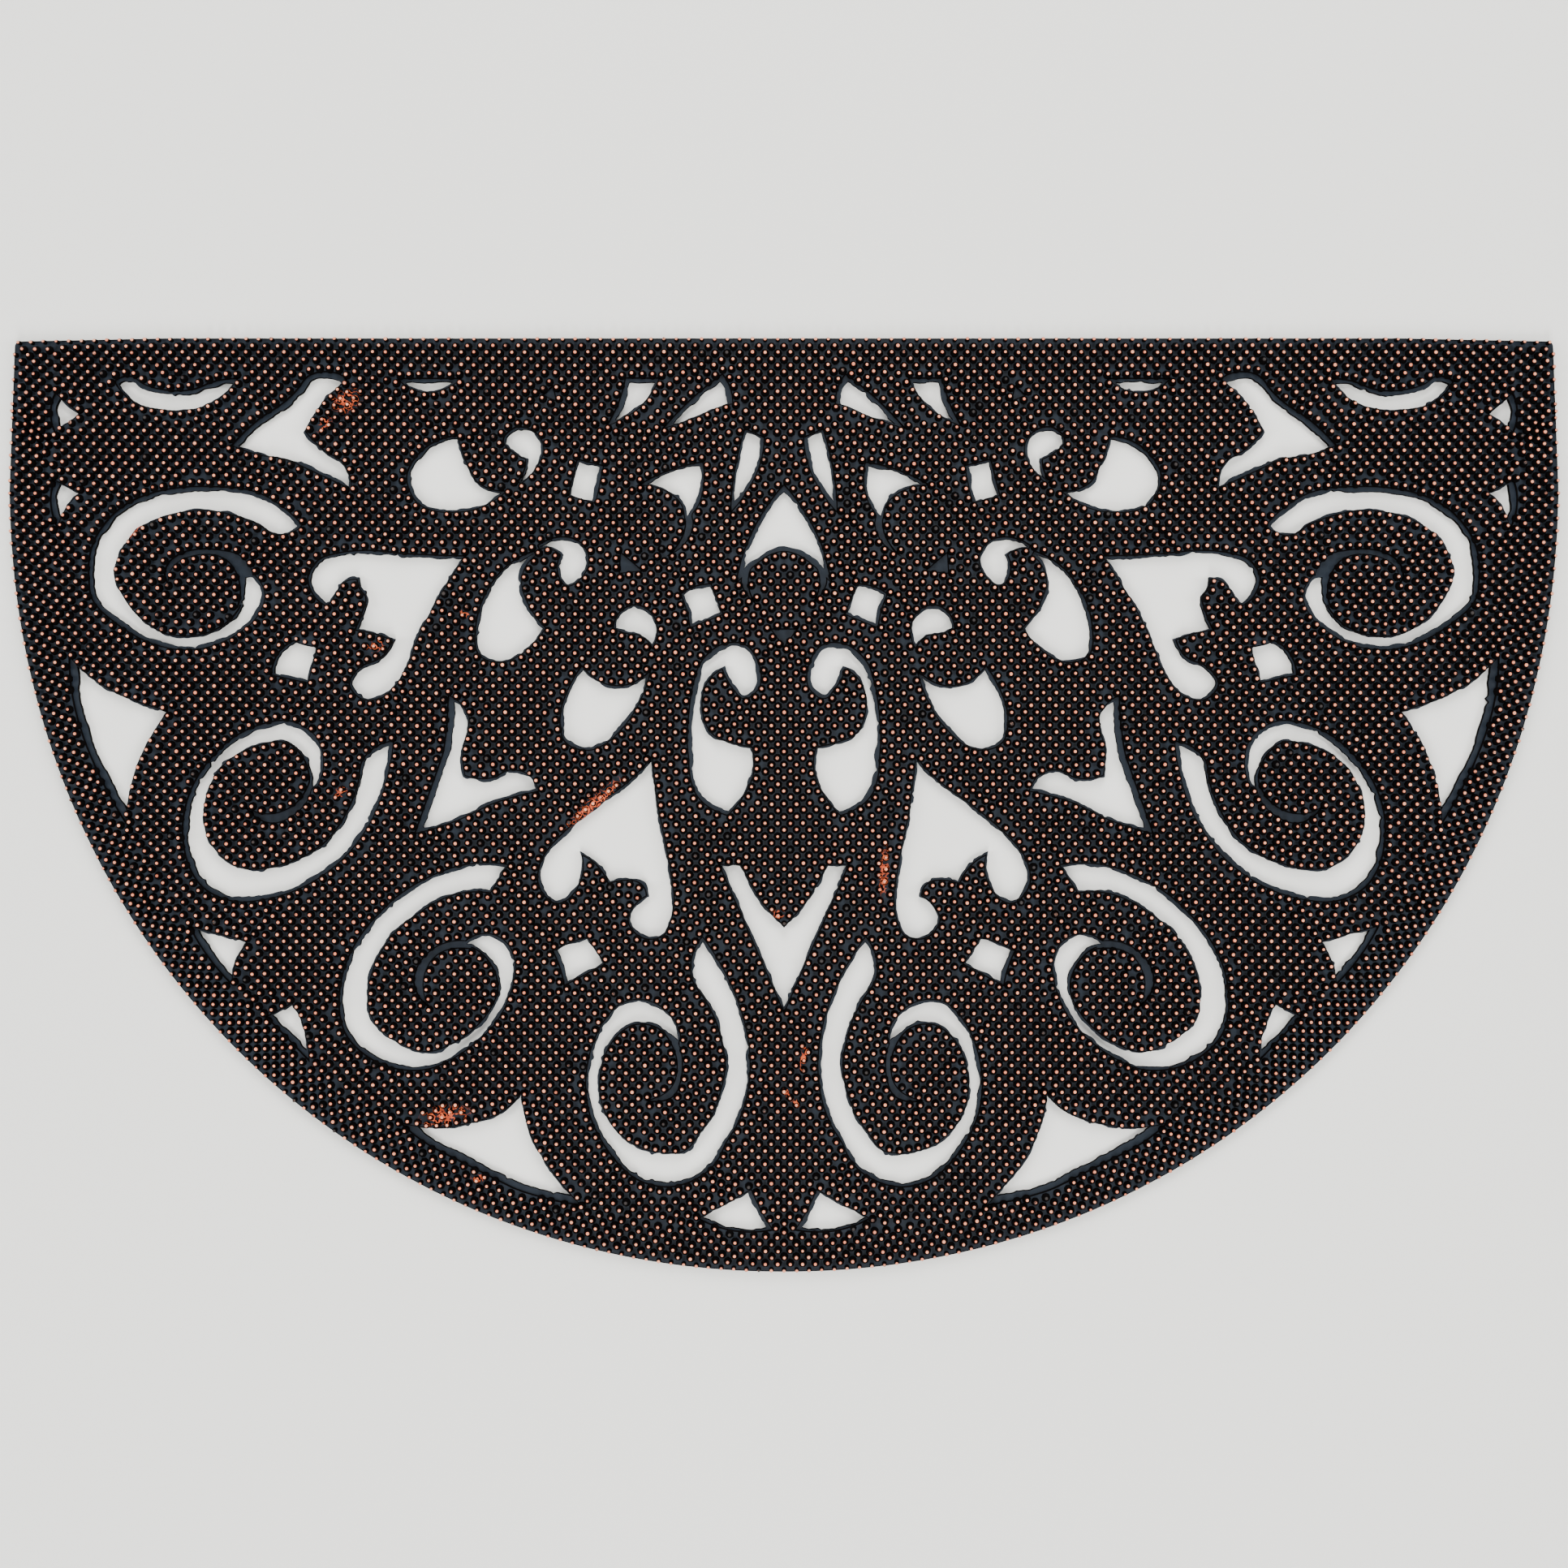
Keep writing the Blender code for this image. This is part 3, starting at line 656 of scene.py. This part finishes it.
pin_rng = np.random.default_rng(PIN_SEED)
count = len(pins)
from_cut = nearest(pins, np.concatenate([outline_drawn, *openings_cut]))
foot = np.clip(from_cut + FOOT_OVERHANG, NARROWEST_FOOT, FULL_FOOT)
foot = foot * pin_rng.normal(1, FOOT_SPREAD, count)
tip = TIP_RADIUS * pin_rng.normal(1.0, TIP_SPREAD, count).clip(*TIP_RANGE)
tip = np.minimum(tip, foot * TIP_TO_FOOT)
top = PIN_TOP - np.abs(pin_rng.normal(0, SHORTER, count)).clip(0, SHORTEST)
lean = pin_rng.normal(0, LEAN, (count, 2)).clip(-MOST_LEAN, MOST_LEAN)
turn = pin_rng.uniform(0, math.tau, count)
levels = np.stack([np.full(count, PIN_FOOT), np.full(count, FOOT_TOP), top - WORN_EDGE, top], axis=1)
radii = np.stack([foot, foot * FOOT_TAPER, tip, tip * TIP_FACE], axis=1)
print(f"feet {foot.min():.2f} to {foot.max():.2f} mm, tips {tip.min():.2f} to {tip.max():.2f} mm")

# %% [markdown]
# A pin is four rings of eight points, stacked from the foot to the tip and shifted a little by the
# pin's lean. Four-sided faces join the rings and one face closes the tip. The foot stays open,
# because it ends inside the base.

# %% Every pin's points and faces
def pin_vertices():
    """Every pin's four rings of points in mm, one block per pin."""
    angle = turn[:, None] + np.arange(SIDES) / SIDES * math.tau
    circle = np.stack([np.cos(angle), np.sin(angle)], axis=2)
    rise = (levels - PIN_FOOT) / (PIN_TOP - PIN_FOOT)
    centres = pins[:, None, :] + lean[:, None, :] * rise[:, :, None]
    flat = centres[:, :, None, :] + circle[:, None, :, :] * radii[:, :, None, None]
    up = np.broadcast_to(levels[:, :, None, None], (*levels.shape, SIDES, 1))
    return np.concatenate([flat, up], axis=3).reshape(count, -1, 3)


def pin_faces(rings):
    """One pin's walls as rows of four vertices, and its tip as a row of eight."""
    walls = []
    for ring in range(rings - 1):
        for side in range(SIDES):
            low, high, after = ring * SIDES, (ring + 1) * SIDES, (side + 1) % SIDES
            walls.append((low + side, low + after, high + after, high + side))
    return np.array(walls), np.arange((rings - 1) * SIDES, rings * SIDES)


vertices = pin_vertices()
walls, tip_face = pin_faces(levels.shape[1])
print(vertices.shape[1], "points and", len(walls) + 1, "faces a pin")

# %% [markdown]
# Four joined meshes, one for each quarter of the mat, keep every piece light. Each pin's wear and
# tone are stored on its points, where the material reads them. About one pin in a hundred has lost
# nearly all its paint, and the rest have lost little.

# %% Pins as joined meshes
WORN_SHARE = 0.012
WORN_RANGE = (0.7, 1.0)
USUAL_WEAR = (1.3, 5)

wear = np.where(pin_rng.random(count) < WORN_SHARE, pin_rng.uniform(*WORN_RANGE, count),
                pin_rng.beta(*USUAL_WEAR, count))
tone = pin_rng.uniform(0, 1, count)


def pin_piece(name, chosen):
    """The chosen pins as one joined mesh, with each pin's wear and tone on its points."""
    starts = np.arange(chosen.sum()) * vertices.shape[1]
    faces = [*(walls[None] + starts[:, None, None]).reshape(-1, 4).tolist(),
             *(tip_face + starts[:, None]).tolist()]
    mesh = bpy.data.meshes.new(name)
    mesh.from_pydata((vertices[chosen].reshape(-1, 3) * MM).tolist(), [], faces)
    mesh.polygons.foreach_set("use_smooth", np.ones(len(faces), bool))
    for attribute, values in (("wear", wear), ("tone", tone)):
        layer = mesh.attributes.new(attribute, "FLOAT", "POINT")
        layer.data.foreach_set("value", np.repeat(values[chosen], vertices.shape[1]))
    piece = bpy.data.objects.new(name, mesh)
    bpy.context.scene.collection.objects.link(piece)
    return piece


QUARTERS = {"pins_top_left": (False, True), "pins_top_right": (True, True),
            "pins_low_left": (False, False), "pins_low_right": (True, False)}
SPLIT_LEVEL = 40.0
right, upper = pins[:, 0] >= 0, pins[:, 1] >= SPLIT_LEVEL
pin_pieces = [pin_piece(name, (right == to_right) & (upper == to_top))
              for name, (to_right, to_top) in QUARTERS.items()]
for piece in pin_pieces:
    print(measured(piece))

# %% [markdown]
# ## Smears of paint
#
# The copper paint is rolled over the tips. The roller was overloaded in a few places, and there the
# paint hangs between neighbouring pins in short strands. They could be meshes of their own, but a
# mask in the material follows the pins and the base by itself. Each smear is a soft ellipse. Within
# it the paint keeps to the lines where a noise passes its middle value, which wind about as strands
# do, about 3 mm apart. Both materials use the mask, so it is a node group.

# %% Smears of paint
SMEARS = (
    # place in mm, half length, half width, angle in degrees
    (-211.5, 195.5, 8.0, 5.5, 30),
    (-222.5, 184.0, 5.0, 2.5, 45),
    (-154.0, 93.0, 3.0, 2.5, 0),
    (-197.5, 77.0, 5.0, 3.0, 20),
    (-214.5, 6.5, 3.5, 2.5, 0),
    (-91.5, 1.5, 19.0, 3.2, 42),
    (-164.0, -150.0, 13.0, 5.0, 10),
    (-148.0, -180.5, 4.0, 2.0, 0),
    (-2.5, -52.5, 3.0, 2.5, 0),
    (9.5, -122.0, 7.0, 1.8, 78),
    (1.2, -138.5, 2.8, 1.8, 90),
    (5.5, -144.0, 2.6, 1.8, -45),
    (48.5, -32.0, 13.0, 2.6, 86),
    (-317.0, 134.0, 9.0, 4.5, 45),
)
STRAND_EVERY = 3.0
STRAND_REACH = 0.17
STRAND_EDGE = 0.02


def per_metre(millimetres):
    """A noise scale that gives features of about so many millimetres."""
    return 1 / (millimetres * MM)


def smear_group():
    """A node group that gives 1 on the strands of paint in a smear and 0 elsewhere."""
    group = bpy.data.node_groups.new("paint_smears", "ShaderNodeTree")
    group.interface.new_socket("Mask", in_out="OUTPUT", socket_type="NodeSocketFloat")
    place = add_node(group, "ShaderNodeTexCoord").outputs["Object"]
    total = None
    for x, y, length, width, angle in SMEARS:
        local = add_node(group, "ShaderNodeMapping", {"Vector": place}, {
            "Location": (x * MM, y * MM, 0), "Rotation": (0, 0, math.radians(angle)),
            "Scale": (length * MM, width * MM, 1)}, vector_type="TEXTURE")
        away = add_node(group, "ShaderNodeVectorMath", {0: local.outputs[0]}, operation="LENGTH")
        inside = add_node(group, "ShaderNodeMath", {1: away.outputs["Value"]}, {0: 1.0},
                          operation="SUBTRACT")
        if total is None:
            total = inside.outputs[0]
        else:
            total = add_node(group, "ShaderNodeMath", {0: total, 1: inside.outputs[0]},
                             operation="MAXIMUM").outputs[0]
    grain = add_node(group, "ShaderNodeTexNoise", {"Vector": place},
                     {"Scale": per_metre(STRAND_EVERY), "Detail": 1.0, "Roughness": 0.5})
    level = add_node(group, "ShaderNodeMath", {0: grain.outputs[0]}, {1: 2.0, 2: -1.0},
                     operation="MULTIPLY_ADD")
    from_strand = add_node(group, "ShaderNodeMath", {0: level.outputs[0]}, operation="ABSOLUTE")
    outside = add_node(group, "ShaderNodeMath", {0: total, 2: from_strand.outputs[0]},
                       {1: -STRAND_REACH}, operation="MULTIPLY_ADD")
    mask = add_node(group, "ShaderNodeMapRange", {"Value": outside.outputs[0]},
                    {"From Min": STRAND_EDGE, "From Max": -STRAND_EDGE})
    result = group.nodes.new("NodeGroupOutput")
    group.links.new(mask.outputs[0], result.inputs["Mask"])
    return group


smears = smear_group()
print("smears of paint:", len(SMEARS))

# %% [markdown]
# ## Moulded black rubber
#
# Carbon black makes the rubber almost black all through. It is pressed hot against polished steel,
# so the flat web and ribbons mirror the room softly and look slate. That slate sheen is also painted
# into their base colours, a little lighter and bluer than the pins. Rubber has an IOR of about 1.52.
# The roughness of 0.38 and the low specular level are matched to the faint sheen in the middle of the
# mat. Dust clouds it in patches of some centimetres, and the lighter, dusty colour holds the painted
# sheen as well.
# The mould's polishing marks are finer than a tenth of a millimetre, too fine to show, and are drawn
# half a millimetre wide.

# %% Moulded black rubber
MIX_A, MIX_B, MIX_OUT = 6, 7, 2
RUBBER_IOR = 1.52
RUBBER_ROUGHNESS = 0.38
RUBBER_SHEEN = 0.2
# painted sheen: both base colours hold the polished rubber's slate reflection, the lighter one dust
# too
BASE_BLACK_AND_SHEEN = "#0E131A"
BASE_DUST_AND_SHEEN = "#1C242D"
SMEAR_DARK = "#9C3719"
SMEAR_BRIGHT = "#E66E45"
DUST_PATCH = 45.0
MOULD_GRAIN = 0.5
GRAIN_DEPTH = 0.1
GRAIN_STRENGTH = 0.35

rubber, tree, shader = new_material("moulded_black_rubber", RUBBER_ROUGHNESS, RUBBER_IOR)
shader.inputs["Specular IOR Level"].default_value = RUBBER_SHEEN
place = add_node(tree, "ShaderNodeTexCoord").outputs["Object"]
dust = add_node(tree, "ShaderNodeTexNoise", {"Vector": place},
                {"Scale": per_metre(DUST_PATCH), "Detail": 6.0, "Roughness": 0.7})
grain = add_node(tree, "ShaderNodeTexNoise", {"Vector": place},
                 {"Scale": per_metre(MOULD_GRAIN), "Detail": 3.0, "Roughness": 0.6})
colour = add_node(tree, "ShaderNodeMix", {"Factor": dust.outputs[0]},
                  {MIX_A: linear(BASE_BLACK_AND_SHEEN), MIX_B: linear(BASE_DUST_AND_SHEEN)}, data_type="RGBA")
smeared = add_node(tree, "ShaderNodeGroup", node_tree=smears)
smear_tone = add_node(tree, "ShaderNodeMix", {"Factor": grain.outputs[0]},
                      {MIX_A: linear(SMEAR_DARK), MIX_B: linear(SMEAR_BRIGHT)}, data_type="RGBA")
painted = add_node(tree, "ShaderNodeMix",
                   {"Factor": smeared.outputs[0], MIX_A: colour.outputs[MIX_OUT],
                    MIX_B: smear_tone.outputs[MIX_OUT]}, data_type="RGBA")
bump = add_node(tree, "ShaderNodeBump", {"Height": grain.outputs[0]},
                {"Strength": GRAIN_STRENGTH, "Distance": GRAIN_DEPTH * MM})
tree.links.new(painted.outputs[MIX_OUT], shader.inputs["Base Color"])
tree.links.new(bump.outputs[0], shader.inputs["Normal"])
print("rubber", BASE_BLACK_AND_SHEEN, "to", BASE_DUST_AND_SHEEN)

# %% [markdown]
# ## Painted pins
#
# The pins come out of drilled holes: their walls carry fine cutter marks, stand steep and shade each
# other, and stay a dull black: the rubber's black, made darker still as painted shade. The copper
# paint covers the flat tip, is darker over the edge, partly where it thins and partly as painted
# shade, and stops a few tenths of a millimetre down the wall. Height alone gives its mask, with some
# noise to break the line. The paint's roughness of 0.75 is that of a matt enamel.

# %% Masks on the pins
PIN_ROUGHNESS = 0.75
TIP_GRAIN = 0.6
FRINGE_WANDER = 0.5
FRINGE_FROM, FRINGE_TO = 7.5, 8.1
FACE_FROM, FACE_TO = 7.62, 7.82
WEAR_FROM, WEAR_TO = 0.95, 1.2

pin_rubber, tree, shader = new_material("painted_rubber_pins", PIN_ROUGHNESS, RUBBER_IOR)
place = add_node(tree, "ShaderNodeTexCoord").outputs["Object"]
height = add_node(tree, "ShaderNodeSeparateXYZ", {0: place}).outputs["Z"]
grain = add_node(tree, "ShaderNodeTexNoise", {"Vector": place},
                 {"Scale": per_metre(TIP_GRAIN), "Detail": 2.0})
rough_height = add_node(tree, "ShaderNodeMath", {0: grain.outputs[0], 2: height},
                        {1: FRINGE_WANDER * MM}, operation="MULTIPLY_ADD").outputs[0]
fringe = add_node(tree, "ShaderNodeMapRange", {"Value": rough_height},
                  {"From Min": FRINGE_FROM * MM, "From Max": FRINGE_TO * MM}).outputs[0]
face = add_node(tree, "ShaderNodeMapRange", {"Value": height},
                {"From Min": FACE_FROM * MM, "From Max": FACE_TO * MM}).outputs[0]
wear_layer = add_node(tree, "ShaderNodeAttribute", attribute_name="wear").outputs["Fac"]
tone_layer = add_node(tree, "ShaderNodeAttribute", attribute_name="tone").outputs["Fac"]
worn_noise = add_node(tree, "ShaderNodeMath", {0: grain.outputs[0], 1: wear_layer}, operation="ADD")
kept = add_node(tree, "ShaderNodeMapRange", {"Value": worn_noise.outputs[0]},
                {"From Min": WEAR_FROM, "From Max": WEAR_TO, "To Min": 1.0, "To Max": 0.0}).outputs[0]
smeared = add_node(tree, "ShaderNodeGroup", node_tree=smears).outputs[0]
paint_reach = PIN_TOP - FRINGE_FROM + FRINGE_WANDER / 2
print("paint fades out", round(paint_reach, 2), "mm down the walls on average")

# %% [markdown]
# The masks stack up as the real layers do: copper of each pin's own tone, its darker rim of thin
# paint and painted shade, the fringe on black rubber with painted shade, the worn places, and last
# the smears, which lie on the walls but not on the tips.
# Only the paint has some sheen.

# %% Rubber pins with painted tips
# painted shade: the rubber's black made darker for the shaded walls of pins, steps and cut edges
PIN_BLACK_AND_SHADE = "#0B0909"
WORN_TIP = "#2A2422"
# partly painted shade: thin paint over the tip's rounded edge, darkened as that edge's shade
TIP_RIM_THIN_AND_SHADE = "#B04A28"
TIP_FACE_COLOUR = "#DC805E"
TIP_LIGHT = "#F2A27C"
WALL_SHEEN, TIP_SHEEN = 0.01, 0.4

copper = add_node(tree, "ShaderNodeMix", {"Factor": tone_layer},
                  {MIX_A: linear(TIP_FACE_COLOUR), MIX_B: linear(TIP_LIGHT)}, data_type="RGBA")
paint = add_node(tree, "ShaderNodeMix", {"Factor": face, MIX_B: copper.outputs[MIX_OUT]},
                 {MIX_A: linear(TIP_RIM_THIN_AND_SHADE)}, data_type="RGBA")
thin_paint = add_node(tree, "ShaderNodeMix", {"Factor": fringe, MIX_B: paint.outputs[MIX_OUT]},
                      {MIX_A: linear(PIN_BLACK_AND_SHADE)}, data_type="RGBA")
worn_paint = add_node(tree, "ShaderNodeMix", {"Factor": kept, MIX_B: thin_paint.outputs[MIX_OUT]},
                      {MIX_A: linear(WORN_TIP)}, data_type="RGBA")
pin_colour = add_node(tree, "ShaderNodeMix", {"Factor": fringe, MIX_B: worn_paint.outputs[MIX_OUT]},
                      {MIX_A: linear(PIN_BLACK_AND_SHADE)}, data_type="RGBA").outputs[MIX_OUT]
smeared_pin = add_node(tree, "ShaderNodeMix", {"Factor": smeared, MIX_A: pin_colour},
                       {MIX_B: linear(SMEAR_BRIGHT)}, data_type="RGBA")
finish = add_node(tree, "ShaderNodeMix", {"Factor": face, MIX_A: smeared_pin.outputs[MIX_OUT],
                                          MIX_B: pin_colour}, data_type="RGBA")
tree.links.new(finish.outputs[MIX_OUT], shader.inputs["Base Color"])
sheen = add_node(tree, "ShaderNodeMapRange", {"Value": fringe},
                 {"To Min": WALL_SHEEN, "To Max": TIP_SHEEN})
tree.links.new(sheen.outputs[0], shader.inputs["Specular IOR Level"])
print("pins", PIN_BLACK_AND_SHADE, "with tips", TIP_FACE_COLOUR, "to", TIP_LIGHT)

# %% [markdown]
# ## Which surface gets which finish
#
# Every steep face of the web and ribbons, the milled steps and the knife-cut edges, takes the pins'
# material, dull and near black with painted shade, and the flat faces keep the polished one with its
# painted slate sheen. All six pieces together stand for the imported solid.

# %% Materials and links to the imported model
STEEP = 0.95


def steep_faces(mesh):
    """Which faces of a mesh stand steep: the milled steps and the cut edges."""
    return np.array([abs(face.normal.z) < STEEP for face in mesh.polygons])


for piece in (web, ribbons, *pin_pieces):
    if piece in pin_pieces:
        piece.data.materials.append(pin_rubber)
    else:
        piece.data.materials.append(rubber)
        piece.data.materials.append(pin_rubber)
        # steep faces get the pins' black, which carries painted shade
        piece.data.polygons.foreach_set("material_index", steep_faces(piece.data).astype(int))
    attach(piece, "root")
    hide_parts("mat")
print("steep faces of the ribbons:", int(steep_faces(ribbons.data).sum()))
